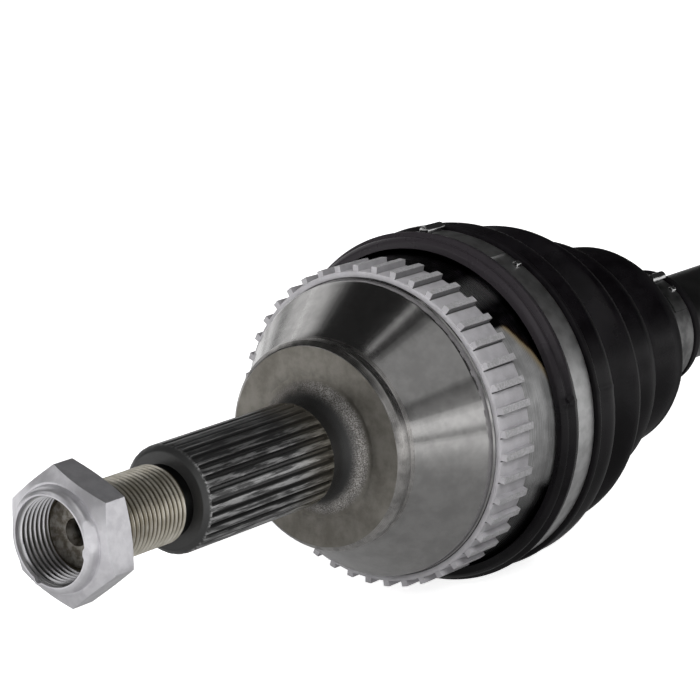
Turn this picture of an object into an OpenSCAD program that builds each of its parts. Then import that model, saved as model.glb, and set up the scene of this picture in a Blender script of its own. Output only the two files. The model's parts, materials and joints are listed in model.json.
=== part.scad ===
// Front drive shaft: fixed ball joint at the wheel, plunging tripod joint at the gearbox.
// The shaft's axis is X. X = 0 is the face that seats on the wheel hub, +X points to the
// gearbox, +Z is up.

/* [Layout] */
// Distance between the centres of the two joints
joint_distance = 400; // [340:5:620]
// Distance from the hub face to the centre of the ball joint
ball_joint_x = 44; // [42:0.5:50]

/* [Axle nut and stub] */
// Outer diameter of the stub's thread
thread_d = 20; // [18:0.5:22]
// Distance from the hub face to the end of the stub
stub_len = 89.6; // [86:0.2:110]
// Distance from the hub face to the front of the spline
spline_front = 58.5; // [50:0.5:64]
// Diameter over the stub's spline
spline_d = 27.5; // [26:0.25:32]
// Number of teeth on the stub's spline
spline_teeth = 28; // [22:1:32]
// Depth of the stub's spline grooves
spline_depth = 1.3; // [0.9:0.1:1.8]
// Radius of the fillet between the spline and the hub face
stub_fillet = 5; // [3:0.25:7]
// Width of the nut across its flats
nut_flats = 30; // [28:0.5:36]
// Height of the nut's hexagon
nut_height = 9; // [8:0.5:16]
// Height of the nut's staking collar
collar_height = 3; // [2.4:0.1:7]
// Wall of the staking collar
collar_wall = 2; // [1:0.1:2.4]
// How far the nut's open end stands out past the end of the stub
nut_overhang = 9.2; // [1:0.2:10]

/* [Bell and tone ring] */
// Diameter of the hub shoulder
shoulder_d = 56; // [50:0.5:60]
// Thickness of the hub shoulder
shoulder_t = 3.8; // [3:0.2:6]
// Diameter of the bell
bell_d = 79.4; // [79:0.2:86]
// Distance from the centre of the ball joint to the mouth of the bell
bell_mouth = 18; // [16:0.25:18.5]
// Distance from the hub face to the front of the tone ring
ring_front = 23.6; // [22:0.2:26]
// Width of the tone ring
ring_width = 13.2; // [9:0.2:15]
// Wall of the tone ring under its teeth
ring_wall = 1.9; // [1.4:0.1:4]
// Height of the tone ring's teeth
ring_tooth_h = 1.3; // [1:0.1:3]
// Number of teeth on the tone ring
ring_teeth = 44; // [40:1:50]

/* [Ball joint] */
// Diameter of a ball
ball_d = 15.875; // [15:0.125:16.5]
// Radius of the circle that the balls' centres lie on
ball_pitch_r = 28; // [27.4:0.1:28.6]
// Diameter of the cage's outer sphere
cage_d = 61.6; // [60.8:0.2:63]
// Thickness of the cage's wall
cage_t = 4.2; // [3.6:0.1:4.8]
// Width of the cage along the shaft
cage_w = 26; // [25:0.5:29]
// Width of the inner race
race_w = 24; // [22:0.5:25]
// Largest angle of the ball joint, shared equally by the housing and the cage
ball_joint_angle = 46; // [30:1:46]

/* [Bar] */
// Diameter of the bar
bar_d = 26.6; // [24.5:0.2:28]
// Diameter of the bar's necks next to the joints
neck_d = 22; // [20:0.2:22.6]
// Diameter over the splines at the ends of the bar
bar_spline_d = 23.6; // [22.8:0.1:24.2]
// Number of teeth on the bar's splines
bar_spline_teeth = 24; // [20:1:28]
// Depth of the bar's spline grooves
bar_spline_depth = 0.9; // [0.7:0.1:1.1]

/* [Boots and clamps] */
// Thickness of the boots' walls
boot_wall = 2.6; // [1.8:0.1:3.2]
// Length of the outer boot
outer_boot_len = 117.8; // [112:0.2:135]
// Length of the bell that the outer boot covers
outer_boot_seat = 16.4; // [15.6:0.2:18]
// Thickness of the outer boot under its large band clamp
outer_band_wall = 6.1; // [4:0.1:7]
// Length of the inner boot
inner_boot_len = 100; // [90:1:125]
// Thickness of the inner boot under its large band clamp
inner_band_wall = 3.2; // [2.6:0.1:5]
// Thickness of both boots under their small band clamps
small_band_wall = 3.6; // [2.6:0.1:5]
// Width of the large band clamps
large_band_w = 8.6; // [7:0.2:9]
// Width of the small band clamps
small_band_w = 8; // [6:0.2:9]
// Thickness of the clamps' steel band
band_t = 0.8; // [0.6:0.1:1.2]

/* [Tripod joint] */
// Distance from the shaft's axis to the middle of a roller
roller_pitch_r = 22; // [21.6:0.1:24]
// Diameter of a roller
roller_d = 34; // [32:0.2:35]
// Width of a roller
roller_w = 12; // [10:0.2:12.4]
// Diameter of a trunnion
trunnion_d = 17; // [15:0.2:18]
// Diameter of a needle roller
needle_d = 3; // [2:0.1:3.2]
// Width of the spider's hub along the shaft
spider_w = 24; // [18:0.5:26]
// Wall of the tulip's lobes
lobe_wall = 5.2; // [3.5:0.1:7]
// How far the joint plunges each way
plunge = 15; // [8:1:20]
// Largest angle of the tripod joint each way
tripod_angle = 20; // [12:1:20]
// Diameter of the seal journal
seal_d = 40; // [34:0.5:46]
// Width of the seal journal
seal_w = 15; // [12:0.5:20]
// Length of the gearbox spline
gear_spline_len = 36; // [28:1:44]
// Diameter over the gearbox spline
gear_spline_d = 28; // [26:0.25:32]
// Number of teeth on the gearbox spline
gear_spline_teeth = 26; // [22:1:32]

/* [Hidden] */
$fn = 96;

bright_steel = [0.66, 0.66, 0.65];
forged_steel = [0.24, 0.23, 0.22];
zinc = [0.72, 0.72, 0.74];
cast_metal = [0.60, 0.60, 0.62];
rubber = [0.05, 0.05, 0.055];
black_paint = [0.03, 0.03, 0.035];
band_steel = [0.45, 0.45, 0.46];
white_nylon = [0.75, 0.74, 0.70];

// Gaps and bevels
eps = 0.01;          // how far a cutter passes a face
seat_gap = 0.05;     // between pieces that seat on each other
run_gap = 0.08;      // between a ball or a roller and its track
soft_gap = 0.15;     // between a boot and what it seats on
edge = 1;            // bevel on a turned edge
fine_edge = 0.4;     // bevel on a ground edge

// Stub and nut
thread_r = thread_d / 2;
spline_r = spline_d / 2;
thread_edge = 1.4;
undercut = 1.1;          // depth and half width of the relief between thread and spline
spline_edge = 1.5;
spline_runout = 3;       // from the end of the spline's grooves to the fillet
blend = 0.05;            // how far the fillet's arc passes the surfaces that it joins
centre_r = 3.4;          // mouth of the centre hole in the stub's end
centre_drill_r = 1.6;
centre_cone = 3.2;
centre_depth = 7;
nut_front = -stub_len - nut_overhang;
collar_base = nut_front + collar_height;
nut_back = collar_base + nut_height;
nut_bore_r = thread_r + soft_gap;
nut_corner_r = nut_flats / sqrt(3);
nut_face_r = nut_flats / 2 - 0.6;
nut_slope = 1.7;         // how deep the corners' bevel reaches
nut_turn = 81.5;         // angle of a corner, from +Y
collar_step = 0.7;       // step from the nut's thread out to the collar's hollow
collar_in_r = nut_bore_r + collar_step;
thread_mouth = 1.2;      // bevel at both mouths of the nut's thread

// Bell and tone ring
shoulder_r = shoulder_d / 2;
shoulder_edge = 1.5;
groove_w = 0.8;          // groove between the shoulder and the cone
bell_r = bell_d / 2;
bell_end = ball_joint_x + bell_mouth;
land_w = 3.7;            // land between the cone and the tone ring
seat_rise = 0.4;         // how far the tone ring's seat stands above the bell
ring_seat_r = bell_r + seat_rise;
ring_back = ring_front + ring_width;
ring_root_r = ring_seat_r + ring_wall;
ring_tip_r = ring_root_r + ring_tooth_h;
ring_tooth = 0.31 * 2 * PI * ring_tip_r / ring_teeth;

// Ball joint
ball_r = ball_d / 2;
track_r = ball_r + run_gap;
cage_r = cage_d / 2;
cage_in_r = cage_r - cage_t;
race_r = cage_in_r - run_gap;
bore_r = cage_r + run_gap;
half_angle = ball_joint_angle / 2;
track_sweep = 40;        // how far a track reaches each way from the joint's middle plane
bowl_depth = 27;         // from the joint's centre to the floor of the bell
flare_x = 11;            // from the joint's centre to the start of the mouth's flare
flare_r = sqrt(bore_r * bore_r - flare_x * flare_x);
mouth_wall = 3.4;
mouth_r = bell_r - mouth_wall;
flare_slope = (mouth_r - flare_r) / (bell_mouth - flare_x);
flare_in = 3;            // how far the flare's cutter starts inside the bowl
flare_start = ball_joint_x + flare_x - flare_in;
balls = 6;
ball_turn = 30;          // angle of the first ball, from +Y

// Bar and its snap rings
bar_r = bar_d / 2;
neck_r = neck_d / 2;
bar_spline_r = bar_spline_d / 2;
neck_len = 32;           // from a joint's inner piece to the start of the taper
taper_len = 8;
spline_past = 1.5;       // how far a spline runs on past the piece that it carries
clip_t = 1.8;
clip_groove = 1.3;       // depth of a snap ring's groove
clip_rise = 1.8;         // how far a snap ring stands out of its groove
clip_side = 0.1;         // side play of a snap ring in its groove
clip_opening = 3;
end_past = 2.5;          // from a snap ring to the bar's end
tripod_x = ball_joint_x + joint_distance;
race_clip_x = ball_joint_x - race_w / 2 - clip_t - clip_side;
spider_clips = [tripod_x - spider_w / 2 - clip_t - clip_side, tripod_x + spider_w / 2 + clip_side];
bar_start = race_clip_x - end_past;
bar_end = spider_clips[1] + clip_t + end_past;

// Tripod joint
lobes = 3;
lobe_turn = 90;          // angle of the first lobe, from +Y
trunnion_r = trunnion_d / 2;
roller_r = roller_d / 2;
roller_in = roller_pitch_r - roller_w / 2;
roller_out = roller_pitch_r + roller_w / 2;
hub_gap = 0.2;           // between the spider's hub and the rollers
hub_r = roller_in - hub_gap;
retainer_t = 1.2;
retainer_seat = 1;       // depth of the groove that holds a retaining ring
trunnion_end = roller_out + 3;
needle_r = needle_d / 2;
needle_ring_r = trunnion_r + seat_gap + needle_r;
needle_side = 0.5;       // from a needle's end to the roller's face
needles = floor(2 * PI * needle_ring_r / (needle_d + seat_gap));
roller_bore_r = needle_ring_r + needle_r + seat_gap;
roller_swing = roller_pitch_r * cos(30) * sin(tripod_angle);   // along the shaft
roller_drift = roller_pitch_r * cos(30) * sin(30) * (1 - cos(tripod_angle));   // across the track
track_half = roller_r + roller_drift + run_gap;
track_reach = trunnion_end + 2.5;
track_corner = 7;
tulip_r = track_reach + lobe_wall;
tulip_bore_r = roller_pitch_r + 2;
waist_r = tulip_bore_r + lobe_wall;
lobe_half = track_half + lobe_wall;
lobe_corner = 10;
tulip_mouth = plunge + roller_swing + 0.5;
tulip_front = tripod_x - tulip_mouth;
mouth_bevel = 3;
mouth_slope = 5;
tulip_floor = tripod_x + plunge + roller_swing + roller_r + 2;
floor_wall = 5;
tulip_taper = 8;
neck_x = tulip_floor + 2 * floor_wall;
seal_r = seal_d / 2;
seal_x = neck_x + 3;
seal_end = seal_x + seal_w;
gear_r = gear_spline_d / 2;
gear_neck_r = gear_r - 1.6;
gear_x = seal_end + 6;
gear_end = gear_x + gear_spline_len;
gear_clip_t = 1.6;
gear_clip_groove = 1.8;
gear_clip_rise = 0.2;
gear_clip_x = gear_end - 5;

// Boots and clamps
band_in = 5.6;           // from a boot's large end to its band
band_lip = 2.3;          // how far a large end's lip stands above its band seat
band_side = 0.4;         // side play of a band between its lips
mouth_len = 6.4;         // from a boot's large end to where its flared mouth meets the seat
mouth_in = 4.1;          // from a boot's lip in to the rim of its mouth
small_lip = 1.2;
small_end = 4;           // from a small band to the boot's end
small_seat_r = bar_r + small_band_wall;
boot_front = bell_end - outer_boot_seat;
outer_band_r = bell_r + outer_band_wall;
outer_band_x = boot_front + band_in;
outer_small_x = boot_front + outer_boot_len - small_end - small_band_w;
bush_wall = 2;
bush_r = tulip_r + bush_wall;
bush_w = band_in + large_band_w + 1.4;
inner_band_r = bush_r + inner_band_wall;
inner_boot_end = tulip_front + bush_w;
inner_band_x = inner_boot_end - band_in - large_band_w;
inner_boot_start = inner_boot_end - inner_boot_len;
inner_small_x = inner_boot_start + small_end;
fold_r = 1.5;
tooth_w = 2.4;
tooth_h = 1.2;

// Ridges and valleys of a boot: how far along from the large band to the small one, and how
// far down from the large lip to the small band's seat
outer_ridges = [[0.02, 0.05], [0.086, 0.016], [0.2, 0.33], [0.3, 0.147], [0.41, 0.46],
                [0.515, 0.38], [0.637, 0.7], [0.78, 0.574], [0.95, 0.93]];
inner_ridges = [[0.02, 0.06], [0.09, 0.01], [0.23, 0.33], [0.37, 0.16], [0.52, 0.58],
                [0.66, 0.45], [0.81, 0.9], [0.94, 0.84]];
wave_steps = 8;

// Shapes that repeat

// Turns a shape made about Z so that its axis is the shaft's
module along_x(x = 0) { translate([x, 0, 0]) rotate([0, 90, 0]) children(); }

// Stands an outline across the shaft and extrudes it from one place on the axis to another
module extruded(x0, x1) { translate([x0, 0, 0]) rotate([90, 0, 90]) linear_extrude(x1 - x0) children(); }

// Revolves a profile given as [radius, x]
module revolved(points) { along_x() rotate_extrude() polygon(points); }

module disc(x0, x1, r) { along_x(x0) cylinder(r = r, h = x1 - x0); }

module ring(x0, x1, r_out, r_in) {
    difference() {
        disc(x0, x1, r_out);
        disc(x0 - eps, x1 + eps, r_in);
    }
}

// Copies a shape round the shaft's axis
module around(count, start = 0) {
    for (i = [0 : count - 1]) rotate([start + 360 * i / count, 0, 0]) children();
}

// A curve through [x, radius] points, each stretch half a cosine wave
function wave(points) = [
    for (i = [0 : len(points) - 2], k = [0 : wave_steps - 1])
        let (t = k / wave_steps, a = points[i], b = points[i + 1])
            [a[0] + (b[0] - a[0]) * t, a[1] + (b[1] - a[1]) * (1 - cos(180 * t)) / 2],
    points[len(points) - 1]
];
function reversed(list) = [for (i = [len(list) - 1 : -1 : 0]) list[i]];
function swapped(list) = [for (p = list) [p[1], p[0]]];

// Gaps between the teeth of a spline of radius r
module spline_gaps(x0, x1, r, depth, teeth) {
    pitch = 2 * PI * r / teeth;
    root = 0.15 * pitch;
    top = 0.26 * pitch;
    around(teeth) extruded(x0, x1)
        polygon([[r - depth, -root], [r - depth, root], [r + edge, top], [r + edge, -top]]);
}

// A snap ring from x to x + t, open at the top
module snap_ring(x, r_out, r_in, t) {
    difference() {
        ring(x, x + t, r_out, r_in);
        translate([x - eps, -clip_opening / 2, 0]) cube([t + 2 * eps, clip_opening, r_out + edge]);
    }
}

// Axle nut: hexagon with a thin collar that is staked into the stub's slot

module nut_blank() {
    reach_r = nut_corner_r + edge;
    front_rise = nut_slope * (reach_r - nut_face_r + edge) / (nut_corner_r - nut_face_r + edge);
    back_rise = edge * (reach_r - nut_face_r) / (nut_corner_r - nut_face_r);
    intersection() {
        extruded(collar_base - edge, nut_back + edge) rotate(nut_turn) circle(nut_corner_r, $fn = 6);
        revolved([[0, collar_base], [nut_face_r - edge, collar_base],
                  [reach_r, collar_base + front_rise], [reach_r, nut_back - back_rise],
                  [nut_face_r, nut_back], [0, nut_back]]);
    }
    disc(nut_front, collar_base + edge, collar_in_r + collar_wall);
}

module axle_nut() {
    hollow_x = nut_front + thread_mouth;
    color(zinc) difference() {
        nut_blank();
        revolved([[0, nut_front - edge], [collar_in_r, nut_front - edge], [collar_in_r, hollow_x],
                  [nut_bore_r, hollow_x + collar_step], [nut_bore_r, nut_back - thread_mouth],
                  [nut_bore_r + thread_mouth + edge, nut_back + edge], [0, nut_back + edge]]);
    }
}

// Outer housing: threaded and splined stub, hub shoulder and bell, one forging

// One ball's track. Its arc lies in the ball's meridian; it is widened on one side by the
// way that the ball takes across it when the cage tilts about Y.
module ball_track(angle) {
    drift = -ball_pitch_r * sin(angle) * cos(angle) * (1 - cos(half_angle));
    translate([ball_joint_x, 0, 0]) rotate([angle, 0, 0]) rotate([0, 0, 90 - track_sweep])
        rotate_extrude(angle = 2 * track_sweep) {
            translate([ball_pitch_r, 0]) circle(track_r);
            if (abs(drift) > eps) {
                translate([ball_pitch_r, drift]) circle(track_r);
                translate([ball_pitch_r - track_r, min(0, drift)]) square([2 * track_r, abs(drift)]);
            }
        }
}

module ball_tracks() { for (i = [0 : balls - 1]) ball_track(ball_turn + 360 * i / balls); }

// A slice of a sphere about the ball joint's centre, w wide
module joint_sphere(r, w) {
    intersection() {
        translate([ball_joint_x, 0, 0]) sphere(r);
        disc(ball_joint_x - w / 2, ball_joint_x + w / 2, r + edge);
    }
}

module stub_blank() {
    relief_x = -spline_front - 2 * undercut;
    revolved([[0, -stub_len], [thread_r - thread_edge, -stub_len], [thread_r, -stub_len + thread_edge],
              [thread_r, relief_x - undercut], [thread_r - undercut, relief_x],
              [thread_r - undercut, -spline_front], [spline_r - spline_edge, -spline_front],
              [spline_r, -spline_front + spline_edge], [spline_r, 0], [0, 0]]);
    along_x() rotate_extrude() difference() {
        translate([spline_r - edge, -stub_fillet]) square([stub_fillet + edge, stub_fillet + edge]);
        translate([spline_r + stub_fillet - blend, blend - stub_fillet]) circle(stub_fillet);
    }
}

module bell_blank() {
    groove_r = shoulder_r - groove_w;
    cone_start = shoulder_t + 2 * groove_w;
    cone_end = ring_front - land_w;
    revolved([[0, 0], [shoulder_r - shoulder_edge, 0], [shoulder_r, shoulder_edge],
              [shoulder_r, shoulder_t], [groove_r, shoulder_t + groove_w / 2],
              [groove_r, shoulder_t + groove_w], [shoulder_r, cone_start],
              [bell_r - edge, cone_end], [bell_r, cone_end + edge], [bell_r, ring_front - seat_rise],
              [ring_seat_r, ring_front], [ring_seat_r, ring_back], [bell_r, ring_back + seat_rise],
              [bell_r, bell_end - edge], [bell_r - edge, bell_end], [0, bell_end]]);
}

module bell_hollow() {
    intersection() {
        translate([ball_joint_x, 0, 0]) sphere(bore_r);
        disc(ball_joint_x - bowl_depth, bell_end, bore_r + edge);
    }
    revolved([[0, flare_start], [flare_r - flare_slope * flare_in, flare_start],
              [mouth_r + flare_slope * edge, bell_end + edge], [0, bell_end + edge]]);
    ball_tracks();
}

module centre_hole() {
    drill_x = -stub_len + centre_cone;
    tip_x = -stub_len + centre_depth;
    revolved([[0, -stub_len - eps], [centre_r, -stub_len - eps], [centre_drill_r, drill_x],
              [centre_drill_r, tip_x - centre_drill_r], [0, tip_x]]);
}

module outer_housing() {
    color(forged_steel) difference() {
        union() {
            stub_blank();
            bell_blank();
        }
        spline_gaps(-spline_front - eps, -stub_fillet - spline_runout, spline_r, spline_depth, spline_teeth);
        centre_hole();
        bell_hollow();
    }
}

// Tone ring for the wheel speed sensor
module tone_ring() {
    color(cast_metal) extruded(ring_front, ring_back) difference() {
        union() {
            circle(ring_root_r);
            for (i = [0 : ring_teeth - 1]) rotate(360 * i / ring_teeth)
                translate([0, -ring_tooth / 2]) square([ring_tip_r, ring_tooth]);
        }
        circle(ring_seat_r + seat_gap);
    }
}

// Ball joint

module outer_cage() {
    window = ball_d + 2 * seat_gap;
    window_len = 1.3 * ball_d;
    color(bright_steel) difference() {
        joint_sphere(cage_r, cage_w);
        translate([ball_joint_x, 0, 0]) sphere(cage_in_r);
        around(balls, ball_turn - 90) translate([ball_joint_x - window / 2, -window_len / 2, 0])
            cube([window, window_len, cage_d]);
    }
}

module outer_balls() {
    color(bright_steel) around(balls, ball_turn)
        translate([ball_joint_x, ball_pitch_r, 0]) sphere(ball_r);
}

module outer_inner_race() {
    color(bright_steel) difference() {
        joint_sphere(race_r, race_w);
        disc(ball_joint_x - race_w, ball_joint_x + race_w, bar_spline_r + seat_gap);
        ball_tracks();
    }
}

module outer_race_circlip() {
    color(band_steel)
        snap_ring(race_clip_x, bar_spline_r + clip_rise, bar_spline_r - clip_groove + seat_gap, clip_t);
}

// Bar with a neck and a spline at each end
module bar_shaft() {
    out_spline = ball_joint_x + race_w / 2 + spline_past;
    out_neck = ball_joint_x + race_w / 2 + neck_len;
    in_spline = spider_clips[0] - spline_past - edge;
    in_neck = tripod_x - spider_w / 2 - neck_len;
    color(black_paint) difference() {
        revolved([[0, bar_start], [bar_spline_r - edge, bar_start], [bar_spline_r, bar_start + edge],
                  [bar_spline_r, out_spline], [neck_r, out_spline + edge], [neck_r, out_neck],
                  [bar_r, out_neck + taper_len], [bar_r, in_neck - taper_len], [neck_r, in_neck],
                  [neck_r, in_spline - edge], [bar_spline_r, in_spline], [bar_spline_r, bar_end - edge],
                  [bar_spline_r - edge, bar_end], [0, bar_end]]);
        spline_gaps(bar_start - eps, out_spline + 2 * edge, bar_spline_r, bar_spline_depth, bar_spline_teeth);
        spline_gaps(in_spline - 2 * edge, bar_end + eps, bar_spline_r, bar_spline_depth, bar_spline_teeth);
        for (x = concat([race_clip_x], spider_clips))
            ring(x - clip_side, x + clip_t + clip_side, bar_r, bar_spline_r - clip_groove);
    }
}

// Boots

// A boot from its large end at x = 0 to its small end at x = length. It seats on seat_r over
// seat_len, its large band sits at band_r, its outside follows the ridges.
module boot(length, seat_r, seat_len, band_r, ridges) {
    lip_r = band_r + band_lip;
    wave_start = band_in + large_band_w + band_side;
    small_x = length - small_end - small_band_w;
    small_back = small_x + small_band_w + band_side;
    wave_end = small_x - band_side;
    outside = wave(concat(
        [for (p = ridges) [wave_start + p[0] * (wave_end - wave_start), lip_r - p[1] * (lip_r - small_seat_r)]],
        [[wave_end, small_seat_r + small_lip]]));
    seat_in = seat_r + soft_gap;
    bar_in = bar_r + soft_gap;
    bar_seat = small_x - small_end;
    inside = [for (p = outside) if (p[0] > seat_len + edge && p[0] < bar_seat - edge)
                  [p[0], max(p[1] - boot_wall, bar_in + edge)]];
    color(rubber) revolved(concat(
        [[seat_in, mouth_len], [lip_r - mouth_in, 0], [lip_r - edge, edge + fine_edge],
         [lip_r, band_in - band_lip], [lip_r - fine_edge, band_in - band_side],
         [band_r, band_in - band_side], [band_r, wave_start]],
        swapped(outside),
        [[small_seat_r, wave_end], [small_seat_r, small_back],
         [small_seat_r + small_lip, small_back + fine_edge],
         [small_seat_r + small_lip - fine_edge, length], [bar_in, length], [bar_in, bar_seat]],
        reversed(swapped(inside)),
        [[max(seat_in + edge, inside[0][1] - edge), seat_len], [seat_in, seat_len]]));
}

module outer_boot() {
    translate([boot_front, 0, 0])
        boot(outer_boot_len, bell_r, outer_boot_seat + edge / 2, outer_band_r, outer_ridges);
}

module inner_boot() {
    translate([inner_boot_end, 0, 0]) mirror([1, 0, 0])
        boot(inner_boot_len, bush_r, bush_w + edge / 2, inner_band_r, inner_ridges);
}

// Band clamps: a steel band, its end lapped over it, a rolled fold and a locking tooth.
// The fold sits at the angle turn from +Y, the lapped end runs on from it by lap.
module band_clamp(x, w, seat_r, turn, lap) {
    r_in = seat_r + soft_gap;
    r_mid = r_in + band_t;
    tooth_turn = turn + 1.2 * lap;
    lap_w = 0.8 * w;
    fold_w = 0.9 * w;
    color(band_steel) {
        ring(x, x + w, r_mid, r_in);
        rotate([turn, 0, 0]) {
            along_x(x + (w - lap_w) / 2) rotate([0, 0, 90]) rotate_extrude(angle = lap)
                translate([r_mid - eps, 0]) square([band_t, lap_w]);
            translate([0, r_mid + fold_r - fine_edge, 0]) disc(x + (w - fold_w) / 2, x + (w + fold_w) / 2, fold_r);
        }
        rotate([tooth_turn, 0, 0]) translate([x + (w - tooth_w) / 2, r_mid - fine_edge, -tooth_w / 2])
            cube([tooth_w, tooth_h + fine_edge, tooth_w]);
    }
}

module outer_large_clamp() { band_clamp(outer_band_x, large_band_w, outer_band_r, turn = 86, lap = 30); }
module outer_small_clamp() { band_clamp(outer_small_x, small_band_w, small_seat_r, turn = 102, lap = 50); }
module inner_large_clamp() { band_clamp(inner_band_x, large_band_w, inner_band_r, turn = 86, lap = 30); }
module inner_small_clamp() { band_clamp(inner_small_x, small_band_w, small_seat_r, turn = 102, lap = 50); }

// Tripod joint

// One lobe's outline, pointing along the outline's first axis, with rounded corners
module lobe(half, reach, corner) {
    translate([0, -half]) square([reach - corner, 2 * half]);
    translate([0, corner - half]) square([reach, 2 * (half - corner)]);
    for (side = [-1, 1]) translate([reach - corner, side * (half - corner)]) circle(corner);
}

module lobe_outline(core_r, half, reach, corner) {
    circle(core_r);
    for (i = [0 : lobes - 1]) rotate(lobe_turn + 360 * i / lobes) lobe(half, reach, corner);
}

// The tulip's outline, grown by a gap
module tulip_outline(gap = 0) {
    intersection() {
        circle(tulip_r + gap);
        lobe_outline(waist_r + gap, lobe_half + gap, tulip_r + gap, lobe_corner + gap);
    }
}

module tulip_blank() {
    intersection() {
        extruded(tulip_front, neck_x) tulip_outline();
        revolved([[0, tulip_front], [tulip_r - edge, tulip_front], [tulip_r + edge, tulip_front + 2 * edge],
                  [tulip_r + edge, neck_x - floor_wall - tulip_taper], [seal_r + edge, neck_x], [0, neck_x]]);
    }
}

// Seal journal and splined stub that goes into the gearbox
module gearbox_stub() {
    revolved([[0, neck_x - edge], [seal_r - 2 * edge, neck_x - edge], [seal_r - 2 * edge, seal_x - 2 * edge],
              [seal_r - edge, seal_x - edge], [seal_r, seal_x], [seal_r, seal_end],
              [seal_r - edge, seal_end + edge], [gear_r + edge, seal_end + 2 * edge],
              [gear_neck_r, gear_x - edge], [gear_neck_r, gear_x], [gear_r, gear_x + edge],
              [gear_r, gear_end - spline_edge], [gear_r - spline_edge, gear_end], [0, gear_end]]);
}

module inner_housing() {
    color(forged_steel) difference() {
        union() {
            tulip_blank();
            gearbox_stub();
        }
        spline_gaps(gear_x - eps, gear_end + eps, gear_r, spline_depth, gear_spline_teeth);
        ring(gear_clip_x - clip_side, gear_clip_x + gear_clip_t + clip_side, gear_r + edge, gear_r - gear_clip_groove);
        extruded(tulip_front - eps, tulip_floor) lobe_outline(tulip_bore_r, track_half, track_reach, track_corner);
        revolved([[0, tulip_front - eps], [tulip_bore_r + mouth_bevel, tulip_front - eps],
                  [tulip_bore_r, tulip_front + mouth_slope], [0, tulip_front + mouth_slope]]);
    }
}

// Nylon bushing that fills the tulip's hollows inside the round boot
module inner_boot_bushing() {
    color(white_nylon) difference() {
        disc(tulip_front + edge / 2, inner_boot_end - edge / 2, bush_r);
        extruded(tulip_front, inner_boot_end) tulip_outline(seat_gap);
    }
}

// Puts a shape made about Z on one trunnion
module on_trunnion(i) {
    translate([tripod_x, 0, 0]) rotate([lobe_turn - 90 + 360 * i / lobes, 0, 0]) children();
}
module on_trunnions() { for (i = [0 : lobes - 1]) on_trunnion(i) children(); }

module spider() {
    groove_z = roller_out + seat_gap;
    color(bright_steel) difference() {
        union() {
            disc(tripod_x - spider_w / 2, tripod_x + spider_w / 2, hub_r);
            on_trunnions() cylinder(r = trunnion_r, h = trunnion_end);
        }
        disc(tripod_x - spider_w, tripod_x + spider_w, bar_spline_r + seat_gap);
        on_trunnions() difference() {
            translate([0, 0, groove_z]) cylinder(r = trunnion_r + edge, h = retainer_t);
            cylinder(r = trunnion_r - retainer_seat, h = trunnion_end);
        }
    }
}

// A roller with a spherical rim
module roller(i) {
    color(bright_steel) on_trunnion(i) difference() {
        intersection() {
            translate([0, 0, roller_pitch_r]) sphere(roller_r);
            translate([0, 0, roller_in]) cylinder(r = roller_r + edge, h = roller_w);
        }
        translate([0, 0, roller_in - eps]) cylinder(r = roller_bore_r, h = roller_w + 2 * eps);
    }
}
module roller_a() { roller(0); }
module roller_b() { roller(1); }
module roller_c() { roller(2); }

module needle_rollers() {
    length = roller_w - 2 * needle_side;
    color(bright_steel) on_trunnions() for (k = [0 : needles - 1]) rotate([0, 0, 360 * k / needles])
        translate([needle_ring_r, 0, roller_in + needle_side]) cylinder(r = needle_r, h = length);
}

module roller_retainers() {
    bottom = roller_out + 2 * seat_gap;
    height = retainer_t - 2 * seat_gap;
    color(band_steel) on_trunnions() difference() {
        translate([0, 0, bottom]) cylinder(r = roller_bore_r + edge, h = height);
        translate([0, 0, bottom - eps]) cylinder(r = trunnion_r - retainer_seat + seat_gap, h = height + 2 * eps);
        translate([0, -clip_opening / 2, bottom - eps]) cube([roller_r, clip_opening, height + 2 * eps]);
    }
}

module spider_circlips() {
    color(band_steel) for (x = spider_clips)
        snap_ring(x, bar_spline_r + clip_rise, bar_spline_r - clip_groove + seat_gap, clip_t);
}

module gearbox_circlip() {
    color(band_steel)
        snap_ring(gear_clip_x, gear_r + gear_clip_rise, gear_r - gear_clip_groove + seat_gap, gear_clip_t);
}

axle_nut();
outer_housing();
tone_ring();
outer_cage();
outer_balls();
outer_inner_race();
outer_race_circlip();
outer_boot();
outer_large_clamp();
outer_small_clamp();
bar_shaft();
inner_small_clamp();
inner_boot();
inner_large_clamp();
inner_boot_bushing();
inner_housing();
spider();
roller_a();
roller_b();
roller_c();
needle_rollers();
roller_retainers();
spider_circlips();
gearbox_circlip();
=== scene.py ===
import json
from math import atan2, ceil, cos, degrees, hypot, log2, pi, radians, sin

import bmesh
import bpy
from mathutils import Matrix, Vector


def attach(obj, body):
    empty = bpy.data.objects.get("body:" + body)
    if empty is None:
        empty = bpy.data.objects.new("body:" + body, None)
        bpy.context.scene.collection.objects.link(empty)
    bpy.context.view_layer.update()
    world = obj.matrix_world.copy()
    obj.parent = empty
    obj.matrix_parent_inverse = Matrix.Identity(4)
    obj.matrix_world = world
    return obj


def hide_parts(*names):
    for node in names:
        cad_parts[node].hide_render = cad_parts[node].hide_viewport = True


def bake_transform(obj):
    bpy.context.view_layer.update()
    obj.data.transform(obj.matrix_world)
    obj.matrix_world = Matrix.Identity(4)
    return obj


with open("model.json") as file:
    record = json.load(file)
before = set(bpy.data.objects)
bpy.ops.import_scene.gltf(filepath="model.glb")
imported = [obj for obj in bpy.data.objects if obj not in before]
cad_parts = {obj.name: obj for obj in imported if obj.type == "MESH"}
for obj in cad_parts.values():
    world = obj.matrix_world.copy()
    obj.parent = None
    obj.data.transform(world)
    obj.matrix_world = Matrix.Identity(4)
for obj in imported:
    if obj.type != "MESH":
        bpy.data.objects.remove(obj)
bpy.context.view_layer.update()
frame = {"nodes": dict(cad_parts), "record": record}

# Shapes are made in millimetres and scaled to metres when they are done.
MM = 0.001
AXIS = (1, 0, 0)

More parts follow.
